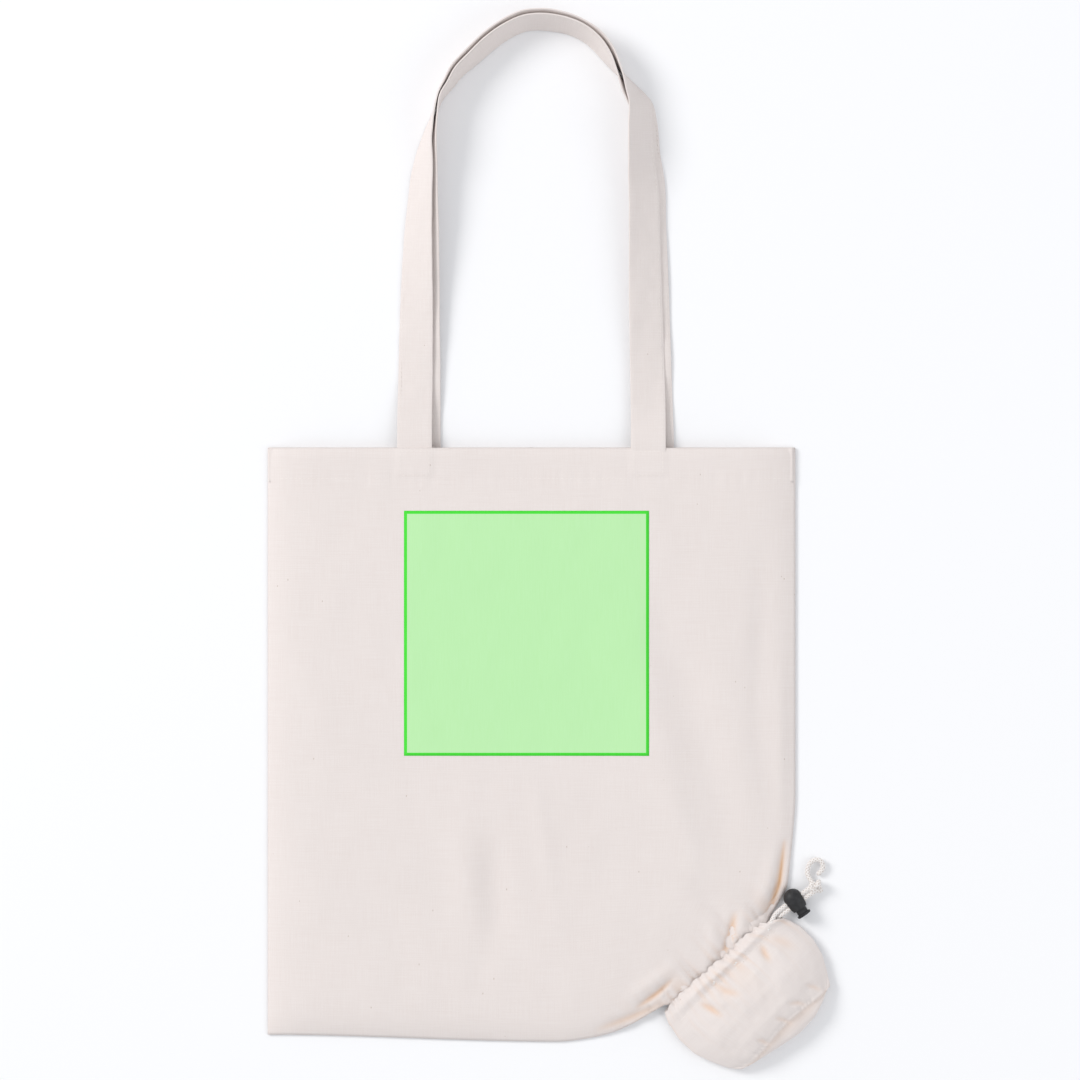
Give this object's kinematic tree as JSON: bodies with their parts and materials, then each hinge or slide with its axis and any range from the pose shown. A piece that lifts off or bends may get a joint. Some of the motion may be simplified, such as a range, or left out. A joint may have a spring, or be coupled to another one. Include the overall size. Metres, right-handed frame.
{
  "type": "foldable tote bag",
  "caption": "Flat-lying cotton shopping tote with long strap handles and a drawstring storage pouch with a barrel cord lock sewn to one bottom corner.",
  "frame": {"origin": "centre of the back panel's underside, which lies on the table", "axes": "+X to the right across the bag, +Y up the bag towards the handles, +Z away from the table, out of the front panel"},
  "size_m": [0.4035, 0.755, 0.0267],
  "materials": {
    "cotton_cloth": "natural unbleached plain weave",
    "cotton_strap": "folded and stitched self fabric",
    "thread": "twisted cotton sewing thread",
    "print_ink": "matte screen print",
    "drawcord": "soft braided cotton",
    "black_plastic": "satin moulded",
    "spring_steel": "drawn wire"
  },
  "bodies": {
    "tote_back": {"back_panel": "cotton_cloth", "left_seam": "cotton_cloth", "right_seam": "cotton_cloth", "bottom_seam": "cotton_cloth", "back_hem": "cotton_cloth", "back_hem_stitching": "thread", "back_handle_ends": "cotton_strap", "back_handle_stitching": "thread"},
    "tote_front": {"front_panel": "cotton_cloth", "front_hem": "cotton_cloth", "front_hem_stitching": "thread", "front_handle_ends": "cotton_strap", "front_handle_stitching": "thread", "printed_square": "print_ink"},
    "front_strap": {"front_handle": "cotton_strap"},
    "back_strap": {"back_handle": "cotton_strap"},
    "pouch": {"pouch_back": "cotton_cloth", "pouch_front": "cotton_cloth", "pouch_casing_back": "cotton_cloth", "pouch_casing_front": "cotton_cloth", "pouch_channel_stitching": "thread", "pouch_seam": "cotton_cloth", "tote_corner": "cotton_cloth", "drawcord_in_channel": "drawcord", "drawcord_hooked_end": "drawcord", "drawcord_short_end": "drawcord", "drawcord_knot": "drawcord"},
    "lock_barrel": {"cord_lock_barrel": "black_plastic", "cord_lock_spring": "spring_steel"},
    "lock_plunger": {"cord_lock_plunger": "black_plastic"}
  },
  "joints": [
    {"name": "mouth_opening", "type": "hinge", "parent": "tote_back", "child": "tote_front", "pos_m": [0, -0.212, 0.0011], "axis": [1, 0, 0], "range_deg": [0, 6]},
    {"name": "front_handle_swing", "type": "hinge", "parent": "tote_front", "child": "front_strap", "pos_m": [0, 0.213, 0.0108], "axis": [1, 0, 0], "range_deg": [0, 170]},
    {"name": "back_handle_swing", "type": "hinge", "parent": "tote_back", "child": "back_strap", "pos_m": [0.006, 0.213, -0.0008], "axis": [1, 0, 0], "range_deg": [-170, 0]},
    {"name": "pouch_fold", "type": "hinge", "parent": "tote_back", "child": "pouch", "pos_m": [0.1335, -0.16, 0.015], "axis": [-0.7431, -0.6691, 0], "range_deg": [0, 120]},
    {"name": "cord_lock_slide", "type": "slide", "parent": "pouch", "child": "lock_barrel", "axis": [0.8192, 0.5736, 0], "range_m": [-0.003, 0.0025]},
    {"name": "plunger_press", "type": "slide", "parent": "lock_barrel", "child": "lock_plunger", "axis": [-0.5736, 0.8192, 0], "range_m": [0, 0.002], "stiffness_N_per_m": 600, "springref_m": -0.0015, "deforming": ["cord_lock_spring"]}
  ]
}
